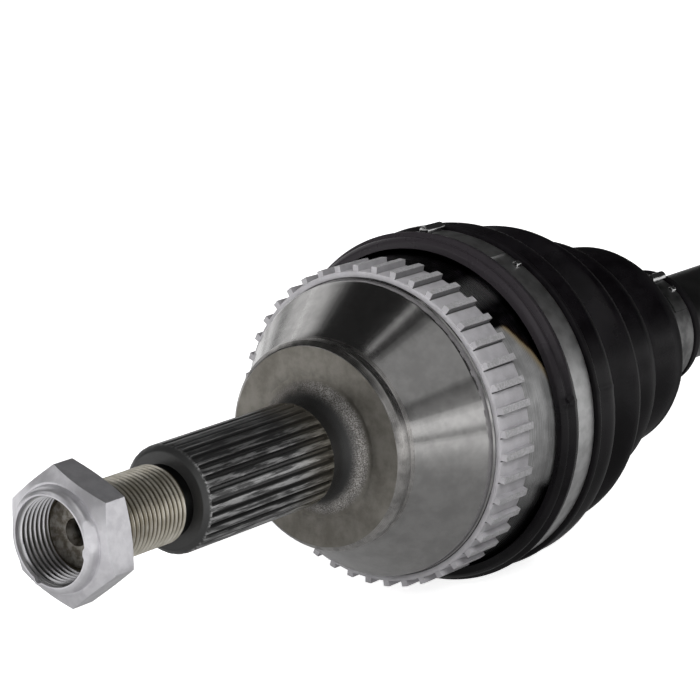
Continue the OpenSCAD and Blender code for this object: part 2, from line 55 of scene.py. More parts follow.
# Places along the shaft and radii. The solids have the same ones, but for three things: the skin
# behind the tone ring (BODY_R) is wider here, the ring's teeth (from RING_ROOT to RING_TIP) are
# a little higher, and the solids have no threads.
STUB_FRONT, SPLINE_FRONT = -89.6, -58.5
THREAD_R, THREAD_ROOT, THREAD_PITCH = 10.0, 9.08, 1.5
UNDERCUT_R = 8.9
SPLINE_R, SPLINE_ROOT, SPLINE_TEETH = 13.75, 12.45, 28
FILLET_R = 18.75
SHOULDER_R, BELL_R, BODY_R, BELL_END = 28.0, 39.7, 44.0, 62.0
BALL_X, BOWL_R = 44.0, 36.2
RING_FRONT, RING_BACK, RING_SEAT, RING_ROOT, RING_TIP = 23.6, 36.8, 40.15, 41.8, 43.4
RING_TEETH = 44
NUT_FRONT, NUT_BASE, NUT_BACK = -98.8, -95.8, -86.8
NUT_FLAT, NUT_CORNER, NUT_FACE, NUT_TURN = 15.0, 17.32, 14.4, 81.5
NUT_BORE, NUT_CREST = 11.02, 10.15
BAR_R = 13.3
# Large end and length of each boot, and the seats of its bands
OUTER_BOOT_X, OUTER_BOOT_LEN, OUTER_BAND_R = 45.6, 117.8, 45.8
INNER_BOOT_X, INNER_BOOT_LEN, INNER_BAND_R = 437.584, 100, 43.9
LARGE_BAND_X, LARGE_BAND_W = 5.6, 8.6
SMALL_END, SMALL_BAND_W, SMALL_SEAT = 12, 8.0, 16.9


# ---------------------------------------------------------------- shapes

def softened(points, size, steps=3):
    """The profile with its corners rounded to about that size, but for those under 20 degrees."""
    done = [points[0]]
    for before, here, after in zip(points, points[1:], points[2:]):
        a, b, c = Vector(before), Vector(here), Vector(after)
        to_a, to_c = a - b, c - b
        reach = min(size, 0.4 * to_a.length, 0.4 * to_c.length)
        if degrees(pi - to_a.angle(to_c)) < 20:
            done.append(tuple(b))
            continue
        start, end = b + to_a.normalized() * reach, b + to_c.normalized() * reach
        for i in range(steps + 1):
            t = i / steps
            done.append(tuple(start * (1 - t) ** 2 + b * 2 * t * (1 - t) + end * t ** 2))
    done.append(points[-1])
    return done


def everything(bm):
    return bm.verts[:] + bm.edges[:] + bm.faces[:]


def verts_of(result):
    return [g for g in result["geom"] if isinstance(g, bmesh.types.BMVert)]


def open_edges(bm):
    return [e for e in bm.edges if e.is_boundary]


def turn(bm, verts, angle, axis="X"):
    bmesh.ops.rotate(bm, verts=verts, cent=(0, 0, 0), matrix=Matrix.Rotation(angle, 3, axis))


def cut_off(bm, place, way):
    """Removes what lies past the plane through place."""
    bmesh.ops.bisect_plane(bm, geom=everything(bm), dist=0.0001, plane_co=place, plane_no=way,
                           clear_outer=True)


def rounded(bm, edges, size, segments=2):
    bmesh.ops.bevel(bm, geom=edges, offset=size, offset_type="OFFSET", segments=segments,
                    profile=0.5, affect="EDGES", material=-1)


def doubled(bm, times, angle, shift):
    """Copies everything round and along the shaft, twice as much each time."""
    for i in range(times):
        verts = verts_of(bmesh.ops.duplicate(bm, geom=everything(bm)))
        turn(bm, verts, angle * 2 ** i)
        bmesh.ops.translate(bm, verts=verts, vec=(shift * 2 ** i, 0, 0))


def revolved(points, steps, closed=False):
    """A bmesh with the profile of (x, radius) points turned about the shaft's axis."""
    bm = bmesh.new()
    row = [bm.verts.new((x, r, 0)) for x, r in points]
    links = list(zip(row, row[1:])) + ([(row[-1], row[0])] if closed else [])
    lines = [bm.edges.new(pair) for pair in links]
    # A sector is spun and then doubled until it goes all round, which is faster than one spin.
    doublings = 0
    while steps % 2 == 0 and steps > 12:
        steps //= 2
        doublings += 1
    angle = 2 * pi / 2 ** doublings
    bmesh.ops.spin(bm, geom=row + lines, cent=(0, 0, 0), axis=AXIS, angle=angle, steps=steps)
    doubled(bm, doublings, angle, 0)
    bmesh.ops.remove_doubles(bm, verts=bm.verts, dist=0.001)
    return bm


def swept(points, start, angle, steps):
    """A closed profile turned part of the way round, with its ends filled; in degrees."""
    bm = bmesh.new()
    face = bm.faces.new([bm.verts.new((x, r, 0)) for x, r in points])
    turn(bm, bm.verts, radians(start))
    turn(bm, verts_of(bmesh.ops.duplicate(bm, geom=[face])), radians(angle))
    bmesh.ops.spin(bm, geom=list(face.edges) + list(face.verts), cent=(0, 0, 0), axis=AXIS,
                   angle=radians(angle), steps=steps)
    bmesh.ops.remove_doubles(bm, verts=bm.verts, dist=0.001)
    return bm


def polar(vert):
    return hypot(vert.co.y, vert.co.z), degrees(atan2(vert.co.z, vert.co.y)) % 360


def set_polar(vert, r, angle):
    vert.co.y, vert.co.z = r * cos(radians(angle)), r * sin(radians(angle))


def away(a, b):
    """Degrees from one angle to another, either way round."""
    return abs((a - b + 180) % 360 - 180)


def smooth(t):
    t = min(1, max(0, t))
    return t * t * (3 - 2 * t)


def finished(bm, name, mats, body, nodes, sharp, pick=None):
    """Turns the bmesh into an object that rides on a body and stands for its nodes.

    Edges of more than sharp degrees stay sharp; pick(x, r) says which of the mats a face has.
    """
    bmesh.ops.remove_doubles(bm, verts=bm.verts, dist=0.0015)
    bmesh.ops.recalc_face_normals(bm, faces=bm.faces)
    for face in bm.faces:
        face.smooth = True
        if pick:
            c = face.calc_center_median()
            face.material_index = mats.index(pick(c.x, hypot(c.y, c.z)))
    for line in bm.edges:
        if len(line.link_faces) == 2 and line.calc_face_angle(0) > radians(sharp):
            line.smooth = False
    bmesh.ops.scale(bm, vec=(MM, MM, MM), verts=bm.verts)
    mesh = bpy.data.meshes.new(name)
    bm.to_mesh(mesh)
    bm.free()
    obj = bpy.data.objects.new(name, mesh)
    bpy.context.scene.collection.objects.link(obj)
    for mat in mats:
        mesh.materials.append(mat)
    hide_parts(*nodes)
    if body:
        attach(obj, body)
    return obj


def helix(x0, x1, root, crest, limit, steps=96):
    """One thread from x0 to x1 as an open tube, cut off square, with no point past limit(x, r)."""
    bm = bmesh.new()
    shape = ((0, root), (0.11, root), (0.43, crest), (0.57, crest), (0.89, root), (1, root))
    pitch = THREAD_PITCH
    row = [bm.verts.new((x0 - pitch + t * pitch, r, 0)) for t, r in shape]
    lines = [bm.edges.new(pair) for pair in zip(row, row[1:])]
    bmesh.ops.spin(bm, geom=row + lines, cent=(0, 0, 0), axis=AXIS, angle=2 * pi,
                   steps=steps, dvec=(pitch / steps, 0, 0))
    doubled(bm, ceil(log2((x1 - x0) / pitch + 2)), 0, pitch)
    bmesh.ops.remove_doubles(bm, verts=bm.verts, dist=0.004)
    for place, way in ((x0, -1), (x1, 1)):
        cut_off(bm, (place, 0, 0), (way, 0, 0))
    for v in bm.verts:
        r, angle = polar(v)
        set_polar(v, limit(v.co.x, r), angle)
    return bm


def ended(bm, front, back, r):
    """Closes a thread to a ring, with flat ends and its other wall at that radius."""
    for place in (front, back):
        loop = [e for e in open_edges(bm) if abs(e.verts[0].co.x - place) < 0.01]
        for v in verts_of(bmesh.ops.extrude_edge_only(bm, edges=loop)):
            set_polar(v, r, polar(v)[1])
    bmesh.ops.bridge_loops(bm, edges=open_edges(bm))


# ---------------------------------------------------------------- shader nodes

class Socket:
    """A number in a shader, with the usual arithmetic."""

    def __init__(self, nodes, socket):
        self.nodes, self.socket = nodes, socket

    def math(self, operation, *others):
        return self.nodes.add("ShaderNodeMath", {"operation": operation}, self, *others)

    def __add__(self, other):
        return self.math("ADD", other)

    __radd__ = __add__

    def __sub__(self, other):
        return self.math("SUBTRACT", other)

    def __rsub__(self, other):
        return self.nodes.add("ShaderNodeMath", {"operation": "SUBTRACT"}, other, self)

    def __mul__(self, other):
        return self.math("MULTIPLY", other)

    __rmul__ = __mul__

    def __truediv__(self, other):
        return self.math("DIVIDE", other)

    def __pow__(self, other):
        return self.math("POWER", other)

    def ramp(self, low, high, a=0.0, b=1.0):
        """a below low, b above high, smooth between."""
        return self.nodes.add("ShaderNodeMapRange", {"interpolation_type": "SMOOTHSTEP"},
                              self, low, high, a, b)


class Nodes:
    """A node tree, to which add makes every node."""

    def __init__(self, tree):
        self.tree = tree

    def add(self, kind, settings, *inputs, out=0, **named):
        node = self.tree.nodes.new(kind)
        for key, value in settings.items():
            setattr(node, key, value)
        for key, value in list(enumerate(inputs)) + list(named.items()):
            self.plug(node.inputs[key], value)
        return Socket(self, node.outputs[out])

    def other(self, socket, out):
        """Another output of the node that the socket is on."""
        return Socket(self, socket.socket.node.outputs[out])

    def plug(self, target, value):
        if isinstance(value, Socket):
            self.tree.links.new(value.socket, target)
        else:
            target.default_value = value

    def mix(self, factor, a, b):
        """From colour a to colour b; a mix node has its colours at 6 and 7, and the result at 2."""
        blend = self.add("ShaderNodeMix", {"data_type": "RGBA"}, factor, out=2)
        for index, value in ((6, a), (7, b)):
            self.plug(blend.socket.node.inputs[index], value)
        return blend


class Look(Nodes):
    """A material and its nodes, with places in millimetres."""

    def __init__(self, name, **constants):
        self.material = bpy.data.materials.new(name)
        self.material.use_nodes = True
        super().__init__(self.material.node_tree)
        self.shader = self.tree.nodes["Principled BSDF"]
        self.set(**constants)
        where = self.add("ShaderNodeTexCoord", {}, out="Object")
        self.place = self.add("ShaderNodeVectorMath", {"operation": "SCALE"}, where, Scale=1000)
        self.x = self.add("ShaderNodeSeparateXYZ", {}, self.place, out="X")
        self.y, self.z = self.other(self.x, "Y"), self.other(self.x, "Z")

    @property
    def radius(self):
        return (self.y * self.y + self.z * self.z) ** 0.5

    @property
    def angle(self):
        return self.z.math("ARCTAN2", self.y)

    def noise(self, scale, detail=3, rough=0.5, stretch=None, place=None):
        """Noise from 0 to 1; scale is in cycles per millimetre."""
        place = place or self.place
        if stretch:
            place = self.add("ShaderNodeVectorMath", {"operation": "MULTIPLY"}, place, stretch)
        return self.add("ShaderNodeTexNoise", {}, Vector=place, Scale=scale, Detail=detail,
                        Roughness=rough)

    def turned(self, scale, across):
        """Noise that runs in rings round the shaft."""
        place = self.add("ShaderNodeCombineXYZ", {}, self.x, self.radius, self.angle * across)
        return self.noise(scale, place=place)

    def set(self, **values):
        for key, value in values.items():
            self.plug(self.shader.inputs[key.replace("_", " ")], value)

    def bump(self, height, distance):
        """Bumps of that height in metres where the input goes from 0 to 1."""
        self.set(Normal=self.add("ShaderNodeBump", {}, Height=height, Distance=distance,
                                 Strength=1.0))


def colour(r, g, b):
    return (r, g, b, 1)


def grey(v, warm=0.0):
    return (v * (1 + warm), v, v * (1 - warm), 1)


# ---------------------------------------------------------------- materials

def zinc_look():
    look = Look("satin_zinc", Metallic=0.88)
    patches = look.noise(0.35, 3)
    base = look.mix(patches.ramp(0.35, 0.7), colour(0.68, 0.67, 0.70), colour(0.80, 0.79, 0.82))
    look.set(Base_Color=base, Roughness=0.28 + 0.14 * look.noise(3, 4, 0.6))
    look.bump(look.noise(1.8, 5, 0.6), 0.00003)
    return look.material


def steel_look(name, dark, light, rough, rings=6.0, warm=0.0, bump=0.000015):
    look = Look(name, Metallic=1.0)
    marks = look.turned(rings, 0.3)
    patches = look.noise(0.22, 4, 0.6)
    look.set(Base_Color=look.mix(patches.ramp(0.3, 0.7), grey(dark, warm), grey(light, warm)),
             Roughness=rough - 0.06 + 0.12 * marks)
    look.bump(marks, bump)
    return look.material


def nut_thread_look():
    look = Look("plated_thread_root_shade", Metallic=1.0)
    # Painted shade: the roots of the thread are painted dark grey and the crests near white.
    depth = look.radius.ramp(10.25, 10.8)
    look.set(Base_Color=look.mix(depth, colour(0.9, 0.89, 0.92), grey(0.3)),
             Roughness=0.24 + 0.14 * look.noise(3, 4, 0.6))
    look.bump(look.noise(1.8, 5, 0.6), 0.00002)
    return look.material


def stub_end_look():
    look = Look("stub_end", Metallic=1.0)
    marks = look.turned(3.5, 0.2)
    patches = look.noise(0.5, 4, 0.65)
    base = look.mix(patches.ramp(0.35, 0.65), colour(0.17, 0.15, 0.12), colour(0.42, 0.4, 0.36))
    # Painted shade: past the first 3 mm, in the centre hole and the undercut, it is painted near
    # black.
    base = look.mix(look.x.ramp(STUB_FRONT + 0.2, STUB_FRONT + 3.2), base, grey(0.02))
    look.set(Base_Color=base, Roughness=0.28 + 0.16 * marks)
    look.bump(marks, 0.00008)
    return look.material


def thread_look():
    look = Look("oiled_thread_root_shade", Metallic=0.95)
    patches = look.noise(0.3, 4)
    crests = look.mix(patches.ramp(0.3, 0.7), colour(0.62, 0.58, 0.49), colour(0.86, 0.82, 0.73))
    # Painted shade: the roots of the thread are painted dark brown under the lighter crests.
    height = look.radius.ramp(9.2, 9.85)
    look.set(Base_Color=look.mix(height, colour(0.12, 0.10, 0.065), crests),
             Roughness=0.26 + 0.15 * look.noise(1.5, 3))
    look.bump(look.noise(2, 4), 0.00002)
    return look.material


def spline_look():
    look = Look("blackened_spline", Metallic=0.85)
    near = look.x.ramp(-26, -8)
    streaks = look.noise(1, 4, 0.6, stretch=(0.12, 1.2, 1.2))
    dark = look.mix(near, grey(0.085), colour(0.13, 0.12, 0.1))
    light = look.mix(near, grey(0.46), colour(0.4, 0.38, 0.33))
    # Light streaks on the tooth tops, part wear and part painted highlight, painted weaker towards
    # the top.
    wear_and_sheen = look.radius.ramp(13.2, 13.7) * streaks.ramp(0.42, 0.62) * look.z.ramp(9, 13, 1, 0.25)
    look.set(Base_Color=look.mix(wear_and_sheen, dark, light), Roughness=0.28 + 0.2 * streaks)
    look.bump(look.noise(1.6, 4), 0.00004)
    return look.material


def face_colours(look):
    """The colours of the shoulder's face, which the fillet fades into."""
    patches = look.noise(0.16, 5, 0.65)
    return look.mix(patches.ramp(0.3, 0.7), colour(0.18, 0.168, 0.146),
                    colour(0.28, 0.266, 0.238))


def fillet_look():
    look = Look("grainy_fillet", Metallic=0.95)
    grain = look.noise(3.2, 3, 0.7)
    cloud = look.noise(0.4, 3)
    outer = look.radius.ramp(16.3, 18.3)
    past_neck = look.radius.ramp(13.4, 15.8)
    lit = look.y.ramp(-6, 8, 1, 0.3)
    # Painted highlight: the grain's light specks are painted brighter on the -Y side than on the +Y
    # side.
    base = look.mix(grain.ramp(0.42, 0.64) * lit, grey(0.2, 0.08), grey(0.72, 0.03))
    base = look.mix(past_neck * (0.6 + 0.4 * cloud.ramp(0.3, 0.6)), grey(0.08), base)
    look.set(Base_Color=look.mix(outer, base, face_colours(look)), Roughness=0.3 + 0.2 * grain)
    look.bump(grain * (1 - 0.7 * outer), 0.00012)
    return look.material


def face_look():
    look = Look("shoulder_face", Metallic=0.8)
    marks = look.turned(2.2, 0.5)
    near = 1 - look.radius.ramp(17.5, 21.5)
    # Painted shade in the corner by the fillet: near it the face is darkened in patches.
    base = look.mix(near * look.noise(0.35, 3).ramp(0.4, 0.6) * 0.35, face_colours(look),
                    grey(0.05))
    look.set(Base_Color=base, Roughness=0.36 + 0.14 * marks)
    look.bump(look.noise(1.2, 5, 0.6), 0.00005)
    return look.material


def bell_look():
    look = Look("heat_tint_and_shade_bell", Metallic=1.0)
    marks = look.turned(5, 0.4)
    patches = look.noise(0.25, 4)
    base = look.mix(patches.ramp(0.3, 0.7), grey(0.18), grey(0.27))
    # The heat of hardening left a straw and brown line slanting across the skin. Behind the line
    # and on the upper side the skin is painted near black and dark grey in patches, a painted shade
    # and dark reflection.
    # side is the angle in degrees up from -Y, and behind the way in mm past the line.
    side = look.z.math("ARCTAN2", look.y * -1) * (180 / pi)
    top = side.ramp(42.5, 44.5)
    behind = look.x - 41.6 - (42 - side) * 0.31 + 1.4 * look.noise(0.25, 3)
    base = look.mix(behind.ramp(-2.2, 0.2), base, colour(0.22, 0.17, 0.095))
    base = look.mix(behind.ramp(0, 0.9), base, colour(0.085, 0.045, 0.03))
    dark = look.mix(patches.ramp(0.45, 0.75), grey(0.015), colour(0.09, 0.078, 0.095))
    base = look.mix(behind.ramp(0.7, 1.7).math("MAXIMUM", top), base, dark)
    # Painted shadow: from about -22 degrees down the skin is painted dark grey.
    base = look.mix(((side + 22) * -1).ramp(0, 8), base, grey(0.06))
    # Painted reflection: a light streak along the skin at about 60 degrees.
    painted_reflection = 1 - (side - 60).math("ABSOLUTE").ramp(2, 9)
    base = look.mix(painted_reflection * 0.8, base, grey(0.9))
    bright = (1 - behind.ramp(-0.5, 0.7)) * (1 - top) * side.ramp(-20, -12)
    look.set(Base_Color=base, Roughness=0.2 + 0.14 * marks, Metallic=1 - 0.7 * bright)
    look.bump(marks, 0.00001)
    return look.material


def cast_look():
    look = Look("cast_grey", Metallic=0.35)
    grain = look.noise(1.6, 5, 0.7)
    patches = look.noise(0.3, 3)
    base = look.mix(patches.ramp(0.3, 0.7), colour(0.44, 0.43, 0.448), colour(0.53, 0.518, 0.54))
    # A painted shadow: a dark line at the foot of each tooth, which takes up the first 0.3 of its
    # phase, weaker towards +Y
    phase = (look.angle * (RING_TEETH / (2 * pi))).math("FRACT")
    tooth_shadow = phase.ramp(0.28, 0.31) * (1 - phase.ramp(0.33, 0.38)) * look.radius.ramp(41.6, 41.7)
    base = look.mix(tooth_shadow * look.y.ramp(-14, 5, 1, 0.35), base, grey(0.04))
    tops = look.radius.ramp(43.1, 43.3) * grain.ramp(0.42, 0.6)
    base = look.mix(tops, base, grey(0.36))
    look.set(Base_Color=base, Roughness=0.46 + 0.16 * grain)
    look.bump(grain, 0.00010)
    return look.material


# Where along the shaft the ridges of the boots are glossy
RIDGE_TOPS = (48, 64.5, 83.5, 103, 126, 147, 351, 358, 379, 400, 420, 434)


def rubber_look():
    look = Look("boot_rubber", Metallic=0.0, IOR=1.5, Specular_IOR_Level=0.2)
    cloud = look.noise(0.08, 4, 0.6)
    base = look.mix(cloud.ramp(0.35, 0.7), colour(0.0018, 0.0014, 0.0019),
                    colour(0.006, 0.0052, 0.0063))
    # Painted highlight: the top of the lip is painted lighter, where light falls on it.
    lit_lip = (1 - look.x.ramp(50.4, 51.2)) * look.z.ramp(0, 34)
    base = look.mix(lit_lip * cloud.ramp(0.2, 0.5), base, colour(0.024, 0.021, 0.024))
    gloss = 0
    for top in RIDGE_TOPS:
        gloss = (1 - (look.x - top).math("ABSOLUTE").ramp(2.5, 6)).math("MAXIMUM", gloss)
    look.set(Base_Color=base, Roughness=0.72 + 0.1 * cloud - 0.5 * gloss)
    look.bump(look.noise(1.4, 4, 0.6), 0.00002)
    return look.material


def band_look(name, dark, light):
    look = Look(name, Metallic=1.0)
    cloud = look.noise(0.3, 4)
    look.set(Base_Color=look.mix(cloud.ramp(0.3, 0.65), grey(dark), grey(light)),
             Roughness=0.38 + 0.14 * cloud)
    look.bump(look.turned(3, 0.2), 0.00001)
    return look.material


def paint_look():
    look = Look("black_paint", Metallic=0.0, Specular_IOR_Level=0.22)
    cloud = look.noise(0.15, 4)
    look.set(Base_Color=look.mix(cloud.ramp(0.3, 0.7), grey(0.004), grey(0.009)),
             Roughness=0.3 + 0.12 * cloud)
    look.bump(look.noise(0.8, 4), 0.00003)
    return look.material


def nylon_look():
    look = Look("natural_nylon")
    cloud = look.noise(0.2, 3)
    look.set(Base_Color=look.mix(cloud, colour(0.7, 0.68, 0.6), colour(0.76, 0.74, 0.68)),
             Roughness=0.42 + 0.1 * cloud)
    look.bump(look.noise(1.2, 3), 0.00003)
    return look.material


ZINC = zinc_look()
THREAD = thread_look()
NUT_THREAD = nut_thread_look()
SPLINE = spline_look()
FILLET = fillet_look()
FACE = face_look()
RIM = steel_look("dark_rim", 0.24, 0.46, 0.28, warm=0.03)
CONE = steel_look("turned_cone", 0.33, 0.40, 0.17, rings=7.0, warm=0.015, bump=0.000006)
BELL = bell_look()
STUB_END = stub_end_look()
CAST = cast_look()
RUBBER = rubber_look()
BAND = band_look("band_steel", 0.42, 0.55)
# A darker copy of the band steel for the small bands, painted shade for bands that sit in shadow.
SHADED_BAND = band_look("shaded_band_steel", 0.1, 0.2)
PAINT = paint_look()
NYLON = nylon_look()
FORGED = steel_look("turned_forging", 0.2, 0.3, 0.3, warm=0.03)
GROUND = steel_look("ground_steel", 0.5, 0.6, 0.16)
SPRING = steel_look("spring_steel", 0.08, 0.14, 0.3)
SLOT_LOOKS = {"zinc": ZINC, "forged_steel": FORGED, "cast_ring": CAST, "ground_steel": GROUND,
              "spring_steel": SPRING, "boot_rubber": RUBBER, "band_steel": BAND,
              "black_paint": PAINT, "nylon": NYLON}

for part in frame["record"]["subparts"]:
    cad = frame["nodes"][part["node"]]
    cad.data.materials.clear()
    cad.data.materials.append(SLOT_LOOKS[part["material_slot"]])


# ---------------------------------------------------------------- outer housing

# Columns of one spline tooth: where in the tooth, and how much of the groove is cut there
SPLINE_COLUMNS = ((-0.5, 0), (-0.4, 0), (-0.3, 0), (-0.25, 0.05), (-0.225, 0.15), (-0.14, 0.93),
                  (-0.1, 1), (0.1, 1), (0.14, 0.93), (0.225, 0.15), (0.25, 0.05), (0.3, 0),
                  (0.4, 0))
# The grooves deepen from GROOVE_START on, over GROOVE_RISE, and end at the neck.
GROOVE_START, GROOVE_RISE, GROOVE_END = -57.2, 1.9, -9.4
NECK_R = SPLINE_ROOT + 0.2
RING_STEP_X, RING_STEP_R = 36.85, 40.1
RIM_END, CONE_END = 5.2, 23.5


def stub_profile():
    """From the bottom of the centre hole over the outside to the bottom of the bowl."""
    hole = [(STUB_FRONT + 7, 0), (STUB_FRONT + 5.6, 1.6), (STUB_FRONT + 3.2, 1.6),
            (STUB_FRONT, 3.4)]
    stub = [(STUB_FRONT, 8.5), (STUB_FRONT + 0.4, UNDERCUT_R), (SPLINE_FRONT, UNDERCUT_R),
            (SPLINE_FRONT, SPLINE_R - 1.5), (-57, SPLINE_R), (-56.2, SPLINE_R),
            (-55.2, SPLINE_R), (GROOVE_END, SPLINE_R), (GROOVE_END + 0.7, NECK_R)]
    rise = FILLET_R - NECK_R
    fillet = [(rise * sin(radians(a)) - rise, FILLET_R - rise * cos(radians(a)))
              for a in range(0, 91, 6)]
    rim = [(0, 26.6), (1.4, SHOULDER_R), (3.8, SHOULDER_R), (4.2, 27.2), (4.6, 27.2),
           (5.4, SHOULDER_R)]
    cone = [(19.9, 38.9), (20.9, BELL_R), (23.2, BELL_R)]
    ring_seat = [(RING_FRONT, RING_STEP_R), (RING_STEP_X, RING_STEP_R)]
    skin = [(RING_STEP_X, 41.0), (37.2, 41.4), (49, 43.7), (51, BODY_R), (BELL_END - 1, BODY_R)]
    mouth = [(BELL_END, BODY_R - 1), (BELL_END, 36.3), (BALL_X, BOWL_R)]
    bowl = [(BALL_X - BOWL_R * sin(radians(a)), BOWL_R * cos(radians(a)))
            for a in range(6, 49, 6)] + [(BALL_X - 27, 0)]
    outside = softened(fillet[-1:] + rim + cone + ring_seat + skin + mouth, 0.3)
    return hole + softened(stub, 0.25, 2) + fillet[1:] + outside[1:] + bowl


def outer_housing():
    profile = stub_profile()
    points = []
    for (x0, r0), (x1, r1) in zip(profile, profile[1:]):
        points.append((x0, r0))
        if x1 - x0 > 2.5 and x0 >= SPLINE_FRONT:
            parts = ceil((x1 - x0) / 2)
            points += [(x0 + (x1 - x0) * i / parts, r0 + (r1 - r0) * i / parts)
                       for i in range(1, parts)]
    points.append(profile[-1])
    columns = len(SPLINE_COLUMNS)
    bm = revolved(points, SPLINE_TEETH * columns)
    for v in bm.verts:
        r, angle = polar(v)
        if r < 0.01:
            continue
        tooth, column = divmod(round(angle / 360 * SPLINE_TEETH * columns), columns)
        place, cut = SPLINE_COLUMNS[column]
        if SPLINE_FRONT - 0.1 < v.co.x < GROOVE_END + 0.1:
            fade = smooth((v.co.x - GROOVE_START) / GROOVE_RISE)
            r = max(r - fade * cut * (SPLINE_R - SPLINE_ROOT), min(r, SPLINE_ROOT))
        set_polar(v, r, (tooth + place + 0.5) * 360 / SPLINE_TEETH)

    def pick(x, r):
        if x < SPLINE_FRONT - 0.01:
            return STUB_END
        if x < GROOVE_END + 0.5:
            return SPLINE
        if x < 0.01 and r < FILLET_R + 0.15:
            return FILLET
        if x < 0.05:
            return FACE
        if x < RIM_END:
            return RIM
        return CONE if x < CONE_END else BELL

    looks = [STUB_END, SPLINE, FILLET, FACE, RIM, CONE, BELL]
    finished(bm, "stub_and_bell", looks, "outer_housing", ["outer_housing"],
             sharp=28, pick=pick)


def stub_thread():
    front, back = STUB_FRONT + 0.3, SPLINE_FRONT - 2.4

    def limit(x, r):
        """A chamfer at the front, and the end of the thread at the undercut."""
        return min(r, 9.3 + 1.4 * (x - front), UNDERCUT_R + 0.1 + back - x)

    bm = helix(front, back, THREAD_ROOT, THREAD_R, limit)
    ended(bm, front, back, 7.5)
    finished(bm, "stub_thread", [THREAD], "outer_housing", ["outer_housing"],
             sharp=40)


outer_housing()
stub_thread()


# ---------------------------------------------------------------- tone ring

RING_COLUMNS, TOOTH_COLUMNS = 10, 3


def tone_ring():
    profile = [(RING_FRONT + 2, RING_SEAT), (RING_FRONT, RING_SEAT), (RING_FRONT, RING_ROOT),
               (RING_BACK, RING_ROOT), (RING_BACK, RING_SEAT), (RING_FRONT + 3, RING_SEAT)]
    bm = revolved(softened(profile, 0.35, 2), RING_TEETH * RING_COLUMNS, closed=True)
    tops = []
    for face in bm.faces:
        c = face.calc_center_median()
        angle = degrees(atan2(c.z, c.y)) % 360
        column = int(angle / 360 * RING_TEETH * RING_COLUMNS) % RING_COLUMNS
        outside = abs(c.y ** 2 + c.z ** 2 - RING_ROOT ** 2) < 5
        if outside and RING_FRONT + 1 < c.x < RING_BACK - 1 and column < TOOTH_COLUMNS:
            tops.append(face)
    raised = bmesh.ops.extrude_face_region(bm, geom=tops)
    bmesh.ops.delete(bm, geom=tops, context="FACES")
    for v in verts_of(raised):
        set_polar(v, RING_TIP, polar(v)[1])
        # The ends of the teeth lean in a little
        v.co.x += 0.12 if v.co.x < 30 else -0.05
    finished(bm, "toothed_ring", [CAST], "outer_housing", ["tone_ring"], sharp=28)


tone_ring()


# ---------------------------------------------------------------- axle nut

# Where round the collar it is pressed flat, dented and notched, in degrees
COLLAR_FACET, COLLAR_DIMPLE, COLLAR_NOTCH = 164, 184, 292


def nut_body():
    # The blank reaches past the corners, so that its chamfers meet the flats in arcs.
    reach = 18.4
    rise_front = 1.7 * (reach - NUT_FACE + 1) / (NUT_CORNER - NUT_FACE + 1)
    rise_back = (reach - NUT_FACE) / (NUT_CORNER - NUT_FACE)
    collar = [(NUT_FRONT + 1, 10.86), (NUT_FRONT, 10.86), (NUT_FRONT, 11.3),
              (NUT_FRONT + 0.4, 12.1), (NUT_FRONT + 1.1, 12.6), (NUT_FRONT + 2.1, 12.8),
              (NUT_BASE, 12.85)]
    hexagon = [(NUT_BASE, 13.4), (NUT_BASE + rise_front, reach), (NUT_BACK - rise_back, reach),
               (NUT_BACK, NUT_FACE)]
    bore = [(NUT_BACK, 12.2), (NUT_BACK - 1.2, NUT_BORE), (NUT_FRONT + 2, NUT_BORE)]
    bm = revolved(softened(collar + hexagon + bore, 0.25), 288, closed=True)
    for i in range(6):
        angle = radians(NUT_TURN + 30 + 60 * i)
        way = Vector((0, cos(angle), sin(angle)))
        cut_off(bm, way * NUT_FLAT, way)
        bmesh.ops.holes_fill(bm, edges=open_edges(bm), sides=0)
    corners = [e for e in bm.edges if abs(e.verts[0].co.x - e.verts[1].co.x) > 3
               and min(polar(v)[0] for v in e.verts) > 17]
    rounded(bm, corners, 0.3, segments=3)
    for v in bm.verts:
        r, angle = polar(v)
        if v.co.x < NUT_BASE and r < 13:
            lip = smooth((NUT_BASE - v.co.x) / 2.4) if r < 11.6 else 0
            dimple = smooth(1.4 - away(angle, COLLAR_DIMPLE) / 6)
            notch = smooth(1.4 - away(angle, COLLAR_NOTCH) / 5)
            flat = 11.35 / cos(radians(min(40, away(angle, COLLAR_FACET))))
            flat += 0.62 * (v.co.x - NUT_FRONT)
            set_polar(v, min(r, max(flat, 11.3)) + lip * (0.7 * notch - 0.6 * dimple), angle)
    finished(bm, "nut_body", [ZINC], "nut", ["axle_nut"], sharp=30)


def nut_thread():
    front, back = NUT_FRONT + 0.9, NUT_BACK - 0.3

    def limit(x, r):
        """A chamfer at either end."""
        return max(r, 10.9 - (x - front) * 1.2, 10.5 - (back - x))

    bm = helix(front, back, NUT_BORE, NUT_CREST, limit)
    ended(bm, front, back, 11.6)
    finished(bm, "nut_thread", [NUT_THREAD], "nut", ["axle_nut"], sharp=40)


nut_body()
nut_thread()


# ---------------------------------------------------------------- boots

WALL = 2.6
LIP = 2.3
BAND_GAP = 0.4
SEAT_GAP = 0.15
# Tops and bottoms of the ridges: how far along the bellows, and how far in from the lip's radius
OUTER_RIDGES = ((0.02, 0.05), (0.086, 0.016), (0.2, 0.33), (0.3, 0.147), (0.41, 0.46),
                (0.515, 0.38), (0.637, 0.7), (0.78, 0.574), (0.95, 0.93))
INNER_RIDGES = ((0.02, 0.06), (0.09, 0.01), (0.23, 0.33), (0.37, 0.16), (0.52, 0.58),
                (0.66, 0.45), (0.81, 0.9), (0.94, 0.84))


def waves(points, steps=12):
    done = []
    for (x0, r0), (x1, r1) in zip(points, points[1:]):
        for i in range(steps):
            t = i / steps
            done.append((x0 + (x1 - x0) * t, r0 + (r1 - r0) * (1 - cos(pi * t)) / 2))
    return done + [points[-1]]


